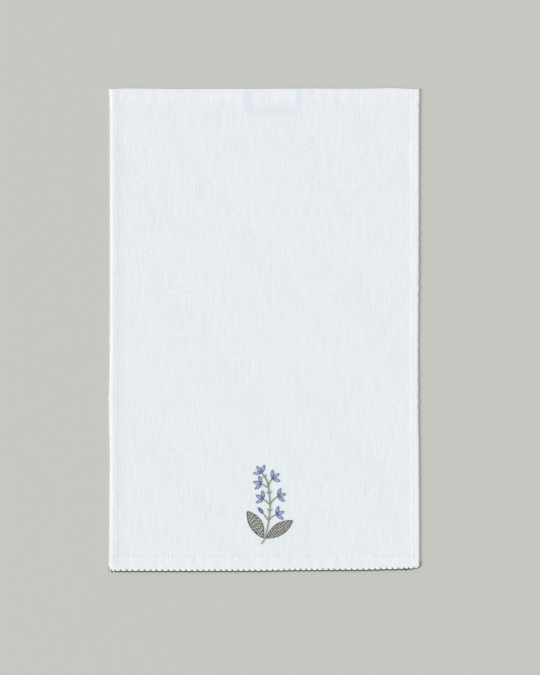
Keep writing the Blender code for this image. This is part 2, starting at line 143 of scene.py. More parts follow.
# Puckers: seed, height, shortest and longest wave in mm, heading and spread in radians.
puckers = {
    "fold": (1, 0.04, 13, 34, 0.0, 0.5),
    "stitching": (2, 0.03, 5, 10, 0.0, 0.5),
    "field": (3, 0.014, 9, 26, 0.0, 1.2),
    "fine": (4, 0.004, 4, 8, 0.0, 1.5),
    "sprig": (5, 0.022, 5, 11, 0.6, 0.7),
    "edge": (6, 0.18, 7, 24, 0.0, 0.2),
}
waves_each, waves_scale = 9, 2.1


def ease(share):
    """0 to 1 with level ends."""
    share = np.clip(share, 0.0, 1.0)
    return share * share * (3.0 - 2.0 * share)


def drifted(table, places, column, at):
    """Reads a drift table, in millimetres, with level ends between its rows."""
    rows = np.array(table[places]) * mm
    values = np.array(table[column]) * mm
    k = np.clip(np.searchsorted(rows, at) - 1, 0, len(rows) - 2)
    share = ease((at - rows[k]) / (rows[k + 1] - rows[k]))
    return values[k] + share * (values[k + 1] - values[k])


drifting = drifted(notch_drift, "x", "right", even_notches)
notches = np.sort(np.concatenate([corner_notches, even_notches + drifting]))


def scallop(x):
    """0 at a notch and 1 where the edge between two notches hangs lowest."""
    k = np.clip(np.searchsorted(notches, x) - 1, 0, len(notches) - 2)
    share = np.clip((x - notches[k]) / (notches[k + 1] - notches[k]), 0.0, 1.0)
    return np.sin(np.pi * share ** (math.log(0.5) / math.log(scallop_lowest)))


def loop_centre_line():
    """Down one leg of the tape, along its base and up the other."""
    line = [(loop_left, loop_top)]
    for centre, start in ((loop_left + loop_bend, 180), (loop_right - loop_bend, 270)):
        for angle in np.radians(np.linspace(start, start + 90, 10)):
            out = (centre + loop_bend * math.cos(angle), loop_base + loop_bend * (1 + math.sin(angle)))
            line.append(out)
    return np.array(line + [(loop_right, loop_top)])


def from_loop(x, y):
    """Distance to the tape's centre line."""
    line = loop_centre_line()
    nearest = np.full(np.shape(x), np.inf)
    for (ax, ay), (bx, by) in zip(line, line[1:]):
        way_x, way_y = bx - ax, by - ay
        share = np.clip(((x - ax) * way_x + (y - ay) * way_y) / (way_x**2 + way_y**2), 0, 1)
        nearest = np.minimum(nearest, np.hypot(x - ax - share * way_x, y - ay - share * way_y))
    return nearest


def puckered(kind, x, y):
    """Height of one kind of pucker: a sum of uneven waves."""
    seed, height, short, long, heading, spread = puckers[kind]
    random = np.random.default_rng(seed)
    total = 0.0
    for _wave in range(waves_each):
        length = random.uniform(short * mm, long * mm)
        angle = heading + random.uniform(-spread, spread)
        phase = random.uniform(0, math.tau)
        along = x * math.cos(angle) + y * math.sin(angle)
        total = total + np.sin(math.tau * along / length + phase)
    return height * mm * total / waves_scale


def hem_height(depth, along, hem):
    """What a hem adds at a depth in from its edge: the fold, its sewn groove and its puckers."""
    layers = 1.0 - ease((depth - hem["fold"] + fold_run / 2) / fold_run)
    ramp = 1.0 - ease((depth - hem["ramp_from"]) / hem["ramp_run"])
    rise = hem["step"] * layers + hem["ramp"] * ramp
    dimples = dimple_mean + dimple_swing * np.cos(math.tau * along / stitch_pitch)
    groove = np.exp(-(((depth - hem["stitch"]) / groove_wide) ** 2))
    rise = rise - hem["groove"] * dimples * groove
    pulled = np.exp(-(((depth - hem["stitch"]) / pucker_reach) ** 2))
    return rise + layers * puckered("fold", along, depth) + pulled * puckered("stitching", along, depth)


def cloth_height(x, y):
    """Height of the cloth's face, at places on the flat towel."""
    sides = {part: np.where(x < 0, hems["left"][part], hems["right"][part]) for part in hem_parts}
    side = hem_height(half_width - np.abs(x), y, sides)
    end_depth = np.minimum(top_edge - y, y - lower_edge)
    end = hem_height(end_depth, x, hems["end"])
    high = field_thick + np.maximum(side, end) + corner_rise * np.minimum(side, end).clip(0)
    for long_x, long_y, start, wave in long_waves:
        high = high + wave * mm * np.sin(math.tau * (x / long_x + y / long_y) / mm + start)
    high = high + puckered("field", x, y) + puckered("fine", x, y)
    out_x = (x - sprig_middle[0]) / sprig_reach[0]
    out_y = (y - sprig_middle[1]) / sprig_reach[1]
    near_sprig = np.exp(-((out_x**2 + out_y**2) ** 2))
    high = high + near_sprig * puckered("sprig", x, y)
    high = high + loop_swell * (1.0 - ease((from_loop(x, y) - tape_half / 2) / swell_run))
    near_edge = 1.0 - ease((y - lower_edge) / leg_rise)
    high = high - notch_sink * near_edge * (1.0 - scallop(x)) ** 2
    depth = np.minimum(half_width - x, end_depth)
    rolled = np.sqrt(1.0 - (1.0 - np.clip(depth / roll_wide, 0, 1)) ** 2)
    left_level = (1.0 - np.clip((half_width + x) / left_roll_wide, 0, 1)) ** left_roll_power
    left_rolled = 1.0 - (1.0 - left_roll_start) * left_level
    return roll_start + (high - roll_start) * np.minimum(rolled, left_rolled)


def rounded(x, y, corner_x, corner_y, radius):
    """Turns a square corner of the grid into a round one."""
    into_x, into_y = -np.sign(corner_x), -np.sign(corner_y)
    across = 1.0 - (x - corner_x) * into_x / radius
    up = 1.0 - (y - corner_y) * into_y / radius
    inside = (across > 0) & (up > 0)
    pull = np.where(inside, np.maximum(across, up) / np.maximum(np.hypot(across, up), 1e-9), 1.0)
    new_x = np.where(inside, corner_x + into_x * radius * (1.0 - across * pull), x)
    return new_x, np.where(inside, corner_y + into_y * radius * (1.0 - up * pull), y)


def outline(x, y):
    """Where places on the flat rectangle lie on the real, slightly uneven towel."""
    left = ease((-x - half_width + drift_fade) / drift_fade)
    right = ease((x - half_width + drift_fade) / drift_fade)
    top = ease((y - top_edge + drift_fade) / drift_fade)
    lower = ease((lower_edge + drift_fade - y) / drift_fade)
    new_x, new_y = rounded(x, y, -half_width, top_edge, top_corner)
    new_x, new_y = rounded(new_x, new_y, half_width, top_edge, top_corner)
    new_x, new_y = rounded(new_x, new_y, -half_width, lower_edge, left_corner)
    new_x, new_y = rounded(new_x, new_y, half_width, lower_edge, right_corner)
    new_x = new_x + right * drifted(side_drift, "y", "right", y)
    new_x = new_x - left * drifted(side_drift, "y", "left", y)
    new_x = new_x + (right - left) * puckered("edge", y, x)
    new_y = new_y + top * drifted(end_drift, "x", "top", x)
    new_y = new_y - lower * drifted(end_drift, "x", "lower", x)
    near = 1.0 - ease((y - lower_edge) / (2 * leg_rise))
    return new_x, new_y - scallop_deep * near * scallop(x)


def grid_lines(stops, spacings):
    """Lines through the stops, each stretch cut evenly at about its spacing."""
    lines = [stops[0]]
    for low, high, spacing in zip(stops, stops[1:], spacings):
        cuts = max(1, round((high - low) / spacing))
        lines += list(np.linspace(low, high, cuts + 1)[1:])
    return np.array(lines)


def place_on_cloth(x, y, lift=0.0):
    """Points on the cloth's face for places on the flat towel."""
    flat_x, flat_y = np.asarray(x, float), np.asarray(y, float)
    real_x, real_y = outline(flat_x, flat_y)
    return np.stack([real_x, real_y, cloth_height(flat_x, flat_y) + lift], axis=-1)


def place_form(form, name):
    """Makes a piece of a bmesh, smooth all over, and lets it ride on the towel."""
    mesh = bpy.data.meshes.new(name)
    form.to_mesh(mesh)
    form.free()
    mesh.shade_smooth()
    piece = bpy.data.objects.new(name, mesh)
    bpy.context.scene.collection.objects.link(piece)
    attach(piece, "root")
    return piece


depths = np.array((0.0, 0.5, 2.0, 7.0, 9.0, 13.0)) * mm
spacing = np.array((0.12, 0.3, 0.8, 0.4, 0.8)) * mm
end_depths = np.array((0.0, 0.5, 2.0, 18.5, 23.0)) * mm
end_spacing = np.array((0.12, 0.3, 1.6, 0.4)) * mm
field_columns, field_rows, coarse = 2.2 * mm, 2.5 * mm, 1.5 * mm
columns = grid_lines(
    [*(depths - half_width), *(half_width - depths[::-1])],
    [*spacing, field_columns, *spacing[::-1]],
)
rows = grid_lines(
    [*(lower_edge + end_depths), *(top_edge - end_depths[::-1])],
    [*end_spacing, field_rows, *end_spacing[::-1]],
)
form = bmesh.new()
hem_mask = form.verts.layers.float.new("hem_layers")
tape_mask = form.verts.layers.float.new("tape_behind")
# This layer holds the painted highlight along the lower edge.
edge_highlight_mask = form.verts.layers.float.new("painted_edge_highlight")
wide, tall = len(columns) - 1, len(rows) - 1
bmesh.ops.create_grid(form, x_segments=wide, y_segments=tall, size=0.5)
for point in form.verts:
    column, row = round((point.co.x + 0.5) * wide), round((point.co.y + 0.5) * tall)
    point.co = (columns[column], rows[row], 0.0)
seam_reach = 1.3 * mm
fine_strips = [
    (lower_edge, lower_edge + 2 * leg_rise),
    (lower_edge + end_stitch - seam_reach, lower_edge + end_stitch + seam_reach),
    (top_edge - end_stitch - seam_reach, top_edge - end_stitch + seam_reach),
]
across = [
    edge
    for edge in form.edges
    if edge.verts[0].co.y == edge.verts[1].co.y
    and edge.calc_length() > coarse
    and any(low <= edge.verts[0].co.y < high for low, high in fine_strips)
]
bmesh.ops.subdivide_edges(form, edges=across, cuts=2, use_grid_fill=True)
bmesh.ops.triangulate(form, faces=[face for face in form.faces if len(face.verts) > 4])

# The rolled edge turns under in two steps, and the flat back closes the sheet, with a
# hollow in it where the loop of tape lies.
mask_run, tint_run, highlight_wide, highlight_least = 1.8 * mm, 2.4 * mm, 1.7 * mm, 0.35
rim_steps = ((0.25, 0.35), (1.0, 0.0))
face_points = form.verts[:]
rims = []
for inset, high in rim_steps:
    rim_edges = [edge for edge in form.edges if edge.is_boundary]
    turned = bmesh.ops.extrude_edge_only(form, edges=rim_edges)["geom"]
    new_points = [part for part in turned if isinstance(part, bmesh.types.BMVert)]
    rims.append((new_points, inset * roll_under, high * roll_start))
flat = np.array([point.co.xy for point in face_points])
hem_depth = np.minimum(
    half_width - np.abs(flat[:, 0]) - side_fold,
    np.minimum(top_edge - flat[:, 1], flat[:, 1] - lower_edge) - end_fold,
)
layered_here = 1.0 - ease(hem_depth / mask_run + 0.5)
tape_here = 1.0 - ease((from_loop(flat[:, 0], flat[:, 1]) - tape_half) / tint_run + 0.5)
# Painted highlight: a narrow whiter band along the lower edge, whitest where the scallops bulge between
# notches and least at the notches, for the light that the bulging edge catches.
edge_highlight_here = 1.0 - ease((flat[:, 1] - lower_edge - highlight_wide / 2) / highlight_wide)
edge_highlight_here = edge_highlight_here * (highlight_least + (1.0 - highlight_least) * scallop(flat[:, 0]))
for k, place in enumerate(place_on_cloth(flat[:, 0], flat[:, 1])):
    face_points[k].co = place
    face_points[k][hem_mask] = layered_here[k]
    face_points[k][tape_mask] = tape_here[k]
    face_points[k][edge_highlight_mask] = edge_highlight_here[k]
middle_y = (top_edge + lower_edge) / 2
for points, inset, high in rims:
    flat = np.array([point.co.xy for point in points])
    flat_x = flat[:, 0] * (1.0 - inset / half_width)
    flat_y = middle_y + (flat[:, 1] - middle_y) * (1.0 - inset / (top_edge - middle_y))
    for point, x, y in zip(points, *outline(flat_x, flat_y)):
        point.co = (x, y, high)


def tape_rim(half, shorter=0.0):
    """Outline of the flat U of tape, with square ends."""
    line = loop_centre_line()
    line[[0, -1], 1] -= shorter
    way = np.gradient(line, axis=0)
    side = np.stack([-way[:, 1], way[:, 0]], axis=1) / np.hypot(*way.T)[:, None] * half
    return np.concatenate([line + side, (line - side)[::-1]])


# The fill takes points within 0.03 units as one, so it works in millimetres.
hollow = [form.verts.new((x, y, 0.0)) for x, y in tape_rim(tape_half + tape_room, -tape_room)]
hollow_edges = [form.edges.new(pair) for pair in zip(hollow, hollow[1:] + hollow[:1])]
open_edges = [edge for edge in form.edges if edge.is_boundary]
bmesh.ops.scale(form, vec=(1 / mm, 1 / mm, 1 / mm), verts=form.verts[:])
bmesh.ops.triangle_fill(form, use_beauty=True, edges=open_edges + hollow_edges, normal=(0, 0, -1))
raised = bmesh.ops.extrude_edge_only(form, edges=hollow_edges)["geom"]
for part in raised:
    if isinstance(part, bmesh.types.BMVert):
        part.co.z = (tape_thick + tape_room) / mm
ceiling = [part for part in raised if isinstance(part, bmesh.types.BMEdge) and part.is_boundary]
bmesh.ops.triangle_fill(form, use_beauty=True, edges=ceiling, normal=(0, 0, -1))
bmesh.ops.scale(form, vec=(mm, mm, mm), verts=form.verts[:])
bmesh.ops.recalc_face_normals(form, faces=form.faces[:])
cloth = place_form(form, "towel_cloth")
cloth.data.set_sharp_from_angle(angle=math.radians(60))


def add_node(tree, kind, values=None, links=None, **settings):
    """Adds a node: settings are its own, values are its sockets' and links come in to them."""
    node = tree.nodes.new(kind)
    for name, setting in settings.items():
        setattr(node, name, setting)
    for socket, value in (values or {}).items():
        node.inputs[socket].default_value = value
    for socket, source in (links or {}).items():
        tree.links.new(source, node.inputs[socket])
    return node


# White cotton, plain woven and washed: matt and very faintly blue, with a thicker yarn here and
# there that runs up the towel as a faint streak. The real yarns, about 0.4 mm apart, are too
# fine to show, so the weave is drawn at 0.75 mm. Bands of scale 1 are 0.314 m apart. Along
# the lower edge a painted highlight whitens the cloth, most where its scallops bulge.
cotton_tone, hem_tone, tape_tint, edge_highlight_tone = "EAEFF3", "EDF1F5", "E4EBF3", "F8FBFD"
cotton, tree, shader = new_material("plain_woven_white_cotton")
shader.inputs["Roughness"].default_value = 0.92
shader.inputs["Specular IOR Level"].default_value = 0.25
shader.inputs["Sheen Weight"].default_value = 0.12
shader.inputs["Sheen Roughness"].default_value = 0.6
yarn_pitch, weft_share, bands_scale = 0.75 * mm, 1.1, 0.314
where = add_node(tree, "ShaderNodeTexCoord").outputs["Object"]
warp = add_node(
    tree,
    "ShaderNodeTexWave",
    {"Scale": bands_scale / yarn_pitch, "Distortion": 1.2, "Detail": 1.0, "Detail Scale": 0.6},
    {"Vector": where},
    bands_direction="X",
)
weft = add_node(
    tree,
    "ShaderNodeTexWave",
    {
        "Scale": bands_scale / (yarn_pitch * weft_share),
        "Distortion": 1.2,
        "Detail": 1.0,
        "Detail Scale": 0.6,
    },
    {"Vector": where},
    bands_direction="Y",
)
weave = add_node(
    tree,
    "ShaderNodeMath",
    links={0: warp.outputs["Fac"], 1: weft.outputs["Fac"]},
    operation="MULTIPLY",
)
slub_wide, slub_share = 1.9 * mm, 0.06
fleck_wide, fleck_share = 1.7 * mm, 0.6
drawn_out = add_node(
    tree, "ShaderNodeMapping", {"Scale": (1.0, slub_share, 1.0)}, {"Vector": where}
)
slubs = add_node(
    tree,
    "ShaderNodeTexNoise",
    {"Scale": 1 / slub_wide, "Detail": 2.0, "Roughness": 0.55},
    {"Vector": drawn_out.outputs["Vector"]},
)
slub_tone = add_node(
    tree,
    "ShaderNodeMapRange",
    {"From Min": 0.3, "From Max": 0.7, "To Min": 0.96, "To Max": 1.028},
    {"Value": slubs.outputs["Fac"]},
)
squeezed = add_node(
    tree, "ShaderNodeMapping", {"Scale": (1.0, fleck_share, 1.0)}, {"Vector": where}
)
flecks = add_node(
    tree,
    "ShaderNodeTexNoise",
    {"Scale": 1 / fleck_wide, "Detail": 2.0, "Roughness": 0.7},
    {"Vector": squeezed.outputs["Vector"]},
)
fleck_tone = add_node(
    tree,
    "ShaderNodeMapRange",
    {"From Min": 0.3, "From Max": 0.7, "To Min": 0.935, "To Max": 1.065},
    {"Value": flecks.outputs["Fac"]},
)
layered = add_node(tree, "ShaderNodeAttribute", attribute_name="hem_layers")
taped = add_node(tree, "ShaderNodeAttribute", attribute_name="tape_behind")
base = add_node(
    tree,
    "ShaderNodeMix",
    {6: linear(cotton_tone), 7: linear(hem_tone)},
    {0: layered.outputs["Fac"]},
    data_type="RGBA",
)
tinted = add_node(
    tree,
    "ShaderNodeMix",
    {7: linear(tape_tint)},
    {0: taped.outputs["Fac"], 6: base.outputs[2]},
    data_type="RGBA",
)
# The painted highlight along the lower edge, mixed in as a whiter tone.
pulled = add_node(tree, "ShaderNodeAttribute", attribute_name="painted_edge_highlight")
highlighted = add_node(
    tree,
    "ShaderNodeMix",
    {7: linear(edge_highlight_tone)},
    {0: pulled.outputs["Fac"], 6: tinted.outputs[2]},
    data_type="RGBA",
)
tone = add_node(
    tree,
    "ShaderNodeMath",
    links={0: slub_tone.outputs[0], 1: fleck_tone.outputs[0]},
    operation="MULTIPLY",
)
colour = add_node(
    tree,
    "ShaderNodeVectorMath",
    links={0: highlighted.outputs[2], "Scale": tone.outputs[0]},
    operation="SCALE",
)
weave_bump = add_node(
    tree,
    "ShaderNodeBump",
    {"Strength": 0.35, "Distance": 0.12 * mm},
    {"Height": weave.outputs[0]},
)
slub_bump = add_node(
    tree,
    "ShaderNodeBump",
    {"Strength": 0.5, "Distance": 0.12 * mm},
    {"Height": slubs.outputs["Fac"], "Normal": weave_bump.outputs["Normal"]},
)
tree.links.new(colour.outputs[0], shader.inputs["Base Color"])
tree.links.new(slub_bump.outputs["Normal"], shader.inputs["Normal"])
cloth.data.materials.append(cotton)
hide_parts("cloth")

# Hem stitching: one row of white lockstitch along each hem, 4.45 mm from needle hole to needle
# hole, that sinks into the groove it pulls. Like each thread on the towel it is plied cotton,
# two or three strands twisted round each other along a route of points.
stitch_gap, stitch_half, stitch_rise = 0.9 * mm, 0.24 * mm, 0.2 * mm
strand_share, twist_share = 0.56, 0.5


def resampled(route, step):
    """The same route with points a step apart."""
    route = np.asarray(route, float)
    reach = np.concatenate([[0], np.cumsum(np.linalg.norm(np.diff(route, axis=0), axis=1))])
    at = np.linspace(0, reach[-1], max(3, round(reach[-1] / step) + 1))
    return np.stack([np.interp(at, reach, route[:, k]) for k in range(3)], axis=1), at


def plied(route, half, plies, lay, step):
    """The centre lines of the strands that make up one thread along a route."""
    points, at = resampled(route, step)
    way = np.gradient(points, axis=0)
    way /= np.linalg.norm(way, axis=1)[:, None] + 1e-12
    side = np.cross(way, (0.0, 0.0, 1.0))
    side /= np.linalg.norm(side, axis=1)[:, None] + 1e-12
    over = np.cross(side, way)
    strands = []
    for ply in range(plies):
        turn = math.tau * (at / lay + ply / plies)
        out = half * twist_share
        strands.append(points + out * (np.cos(turn)[:, None] * side + np.sin(turn)[:, None] * over))
    return strands


def thread_piece(name, bundles, half, plies=2, lay=1.6 * mm, step=0.5 * mm, sides=1):
    """One mesh of plied threads. bundles pairs each finish with the routes that have it."""
    curve = bpy.data.curves.new(name + "_lines", "CURVE")
    curve.dimensions = "3D"
    curve.bevel_depth = half * strand_share
    curve.bevel_resolution = sides
    curve.use_fill_caps = True
    for index, (finish, routes) in enumerate(bundles):
        curve.materials.append(finish)
        for route in routes:
            for strand in plied(route, half, plies, lay, step):
                spline = curve.splines.new("POLY")
                spline.points.add(len(strand) - 1)
                spline.points.foreach_set("co", np.c_[strand, np.ones(len(strand))].ravel())
                spline.material_index = index
    guide = bpy.data.objects.new(name + "_lines", curve)
    bpy.context.scene.collection.objects.link(guide)
    graph = bpy.context.evaluated_depsgraph_get()
    mesh = bpy.data.meshes.new_from_object(guide.evaluated_get(graph))
    bpy.data.objects.remove(guide)
    form = bmesh.new()
    form.from_mesh(mesh)
    bpy.data.meshes.remove(mesh)
    bmesh.ops.remove_doubles(form, verts=form.verts[:], dist=0.001 * mm)
    bmesh.ops.recalc_face_normals(form, faces=form.faces[:])
    piece = place_form(form, name)
    for finish, _routes in bundles:
        piece.data.materials.append(finish)
    return piece


def stitch(start, end, rise, sink=0.25 * mm, parts=6):
    """One stitch between two places on the flat towel: its ends go down into the cloth."""
    share = np.linspace(0, 1, parts + 1)
    x = start[0] + (end[0] - start[0]) * share
    y = start[1] + (end[1] - start[1]) * share
    bow = np.sin(np.pi * share) ** 0.6
    return place_on_cloth(x, y) + np.stack([0 * x, 0 * x, (rise + sink) * bow - sink], axis=1)


def cotton_thread(name, tone, shaded_patch_tone, variation=0.12, roughness=0.6):
    """Plied or stranded cotton: soft gloss, with a darker copy of its tone mixed in at random in
    patches, partly painted shade for the dark between strands and partly its uneven tone along its
    length.

    Its patches of tone are 1.6 mm across. Its fibres are drawn at 0.3 mm, coarser than real, so
    that they show.
    """
    patches, fibre_bumps = 620.0, 3200.0
    material, tree, shader = new_material(name)
    where = add_node(tree, "ShaderNodeTexCoord").outputs["Object"]
    uneven = add_node(
        tree, "ShaderNodeTexNoise", {"Scale": patches, "Detail": 3.0}, {"Vector": where}
    )
    share = add_node(
        tree,
        "ShaderNodeMapRange",
        {"From Min": 0.5 - variation * 2, "From Max": 0.5 + variation * 2},
        {"Value": uneven.outputs["Fac"]},
    )
    # Painted shade and uneven tone: the darker copy of the thread's tone, mixed in at random patches.
    mix = add_node(
        tree,
        "ShaderNodeMix",
        {6: linear(shaded_patch_tone), 7: linear(tone)},
        {0: share.outputs[0]},
        data_type="RGBA",
    )
    fibres = add_node(
        tree, "ShaderNodeTexNoise", {"Scale": fibre_bumps, "Detail": 2.0}, {"Vector": where}
    )
    bump = add_node(
        tree,
        "ShaderNodeBump",
        {"Strength": 0.4, "Distance": 0.08 * mm},
        {"Height": fibres.outputs["Fac"]},
    )
    tree.links.new(mix.outputs[2], shader.inputs["Base Color"])
    tree.links.new(bump.outputs["Normal"], shader.inputs["Normal"])
    shader.inputs["Roughness"].default_value = roughness
    shader.inputs["Sheen Weight"].default_value = 0.15
    shader.inputs["Specular IOR Level"].default_value = 0.35
    return material


white_thread = cotton_thread("white_sewing_cotton", "EFF1F3", "DDE1E5", 0.2)
hem_routes = []
for y in (top_edge - end_stitch, lower_edge + end_stitch):
    for k in range(int(-half_width / stitch_pitch) + 1, int(half_width / stitch_pitch)):
        start = (k * stitch_pitch + stitch_gap / 2, y)
        end = ((k + 1) * stitch_pitch - stitch_gap / 2, y)
        hem_routes.append(stitch(start, end, stitch_rise, parts=4))
for x in (hems["left"]["stitch"] - half_width, half_width - hems["right"]["stitch"]):
    for k in range(int((lower_edge + 4 * mm) / stitch_pitch) + 1, int(top_edge / stitch_pitch)):
        start = (x, k * stitch_pitch + stitch_gap / 2)
        end = (x, (k + 1) * stitch_pitch - stitch_gap / 2)
        hem_routes.append(stitch(start, end, stitch_rise, parts=4))
hem_stitching = thread_piece(
    "hem_stitching", [(white_thread, hem_routes)], stitch_half, step=0.8 * mm, sides=0
)

# Hanging loop: a U of pale blue twill tape, its ends caught under the top hem, lying flat
# behind the cloth. It shows from the front only as a faint tint.
tape_bevel, tape_rib = 0.2 * mm, 0.9 * mm
tape_tone, tape_rib_tone = "A9BEDD", "C3D2E8"
tape_form = bmesh.new()
rim = [tape_form.verts.new((x, y, 0.0)) for x, y in tape_rim(tape_half)]
rim_edges = [tape_form.edges.new(pair) for pair in zip(rim, rim[1:] + rim[:1])]
bmesh.ops.triangle_fill(tape_form, use_beauty=True, edges=rim_edges, normal=(0, 0, -1))
grown = bmesh.ops.extrude_face_region(tape_form, geom=tape_form.faces[:])["geom"]
tape_points = [part for part in grown if isinstance(part, bmesh.types.BMVert)]
bmesh.ops.translate(tape_form, verts=tape_points, vec=(0, 0, tape_thick))
bmesh.ops.recalc_face_normals(tape_form, faces=tape_form.faces[:])
bevel_edges = [edge for edge in tape_form.edges if edge.calc_face_angle(0.0) > 1.0]
bmesh.ops.bevel(
    tape_form,
    geom=bevel_edges,
    offset=tape_bevel,
    segments=2,
    profile=0.5,
    affect="EDGES",
    material=-1,
)
tape = place_form(tape_form, "loop_tape")
tape.data.set_sharp_from_angle(angle=math.radians(40))

# Cotton twill: matt, with slanting ribs, drawn coarser than real so that they show.
twill, tree, shader = new_material("pale_blue_cotton_twill_tape")
where = add_node(tree, "ShaderNodeTexCoord").outputs["Object"]
slanted = add_node(
    tree,
    "ShaderNodeTexWave",
    {"Scale": bands_scale / tape_rib, "Distortion": 0.6},
    {"Vector": where},
    bands_direction="DIAGONAL",
)
tape_colour = add_node(
    tree,
    "ShaderNodeMix",
    {6: linear(tape_tone), 7: linear(tape_rib_tone)},
    {0: slanted.outputs["Fac"]},
    data_type="RGBA",
)
tape_bump = add_node(
    tree,
    "ShaderNodeBump",
    {"Strength": 0.5, "Distance": 0.15 * mm},
    {"Height": slanted.outputs["Fac"]},
)
tree.links.new(tape_colour.outputs[2], shader.inputs["Base Color"])
tree.links.new(tape_bump.outputs["Normal"], shader.inputs["Normal"])
shader.inputs["Roughness"].default_value = 0.85
tape.data.materials.append(twill)
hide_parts("hanging_loop")

# Edging: grey-green plied cotton in blanket stitch. One thread runs along the scalloped edge,
# with a slanting leg at each notch that goes over it into the hem. A single strand, knotted
# where it starts and ends, turns both corners and goes under the sides.
edge_half, leg_half, strand_half = 1.05 * mm, 0.45 * mm, 0.5 * mm
edge_high, strand_high = 1.12 * mm, 0.8 * mm
thread_away, strand_away = 0.5 * mm, 0.5 * mm
left_end, right_end = -344.0 * mm, -341.0 * mm
thick_end = 213.5 * mm
knots = ((-220.9 * mm, 0.7 * mm), (204.8 * mm, 1.1 * mm))
knot_round, tuck, tuck_high = 0.8 * mm, 2.0 * mm, 0.7
leg_slants = {"x": (-225, -20, 60, 225), "left": (2.1, 2.2, 1.7, 1.3)}
leg_fade, lip_out = 0.75 * mm, 0.1 * mm
edge_thread = cotton_thread("grey_green_plied_cotton", "5C6655", "3E4639", 0.15, 0.7)


def rim_point(x, y, out_x, out_y, away=thread_away, high=edge_high):
    """A point of the edge thread, just outside the cloth."""
    real_x, real_y = outline(np.array(float(x)), np.array(float(y)))
    return (float(real_x) + out_x * away, float(real_y) + out_y * away, high)


def corner_points(side, radius):
    """The thread's way round a corner, from the lower edge to the side."""
    points = []
    for angle in np.radians(np.linspace(0, 90, 9)):
        in_x = max(0.0, 1.0 - math.tan(min(angle, 1.57)))
        in_y = max(0.0, 1.0 - 1.0 / math.tan(max(angle, 0.001)))
        at = (side * (half_width - radius * in_x), lower_edge + radius * in_y)
        out = (side * math.sin(angle), -math.cos(angle))
        points.append(rim_point(*at, *out, strand_away, strand_high))
    end = left_end if side < 0 else right_end
    points.append(rim_point(side * half_width, end, side, 0, strand_away, strand_high))
    tucked = (side * half_width, end + tuck, side, 0)
    points.append(rim_point(*tucked, -2 * strand_away, tuck_high * strand_high))
    return points


def knot(x, drop):
    """A knot in the edge thread: two small turns of it, just below the edge."""
    turn = np.linspace(0, 2 * math.tau, 17)
    round_it = np.stack([np.cos(turn), 0.7 * np.sin(turn), 0.4 * np.sin(turn / 2)], axis=1)
    return np.array(rim_point(x, lower_edge - drop, 0, -1)) + knot_round * round_it


along = [np.linspace(left, right, 8, endpoint=False) for left, right in zip(notches, notches[1:])]
along = np.concatenate([*along, notches[-1:]])
edge_route = [rim_point(x, lower_edge, 0, -1) for x in along if notches[1] <= x <= thick_end]
left_strand = corner_points(-1, left_corner)[::-1]
for x in along[along <= notches[1]]:
    left_strand.append(rim_point(x, lower_edge, 0, -1, strand_away, strand_high))
right_strand = []
for x in along[along >= thick_end - 1.0 * mm]:
    right_strand.append(rim_point(x, lower_edge, 0, -1, strand_away, strand_high))
right_strand += corner_points(1, right_corner)
strand_routes = [left_strand, right_strand, *(knot(x, drop) for x, drop in knots)]
leg_routes = []
for x in notches:
    foot = rim_point(x, lower_edge, 0, -1)
    slant = drifted(leg_slants, "x", "left", x)
    share = np.linspace(0.1, 1.0, 7)
    over = place_on_cloth(x - slant * share, lower_edge + leg_rise * share, leg_half * 0.8)
    over[:, 2] -= share**2 * leg_fade
    lip = (foot[0], foot[1] + lip_out, float(over[0, 2]))
    leg_routes.append(np.array([foot, lip, *over]))
edge_lay, leg_lay, edge_step, strand_step = 3.4 * mm, 2.6 * mm, 0.4 * mm, 0.3 * mm
edge_bundle, leg_bundle = [(edge_thread, [edge_route])], [(edge_thread, leg_routes)]
edging = thread_piece("edging_thread", edge_bundle, edge_half, 3, edge_lay, edge_step)
legs = thread_piece("edging_legs", leg_bundle, leg_half, 2, leg_lay, edge_step)
strand_bundle = [(edge_thread, strand_routes)]
strands = thread_piece("edging_strands", strand_bundle, strand_half, 2, leg_lay, strand_step)
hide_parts("edging")

# The sprig: stranded cotton, embroidered by hand. The stem is rope-like stem stitch, with
# stalks to the flowers and small paired bracts.
stem_line = np.array(
    (
        (-5.3, -310.8),
        (0.1, -302.3),
        (3.1, -288.7),
        (5.3, -276.9),
        (6.7, -262.9),
        (7.2, -254.0),
        (6.2, -237.8),
        (4.8, -229.3),
        (3.3, -221.2),
        (0.1, -214.3),
        (-3.2, -209.3),
        (-4.8, -207.0),
    )
) * mm
sage_thread = cotton_thread("sage_green_stranded_cotton", "9FAE90", "82936F", 0.15)
stem_half, branch_half, bract_half = 0.74 * mm, 0.72 * mm, 0.62 * mm
bract_long, bract_spread, bract_bow, bracts_at = 4.8 * mm, math.radians(48), 0.4 * mm, (4, 6, 9)
right_bow, left_bow = 1.3 * mm, 0.3 * mm
# Each flower: its base in mm, the way it faces in degrees, and the stem's point it grows from.
flowers = {
    "flower_1": ((16.5, -267.9), 20, 3),
    "flower_2": ((-1.7, -245.4), 153, 5),
    "flower_3": ((18.7, -241.4), 16, 5),
    "flower_4": ((-4.4, -223.4), 165, 7),
    "flower_5": ((10.6, -215.3), 33, 7),
    "flower_6": ((-4.3, -207.7), 127, None),
}
bud_base, bud_facing, bud_from = (-1.7, -267.3), 130, 3


def bent(start, end, bow, parts=8):
    """Places on a line that bows to its left, as seen from its start."""
    start, end = np.array(start), np.array(end)
    way = end - start
    side = np.array((-way[1], way[0])) / np.hypot(*way)
    share = np.linspace(0, 1, parts + 1)[:, None]
    return start + way * share + side * bow * np.sin(np.pi * share)


def laid(places, half):
    """A thread laid on the cloth along places, its two ends taken down through it."""
    route = place_on_cloth(places[:, 0], places[:, 1], half * 0.75)
    route[[0, -1], 2] -= half
    return route


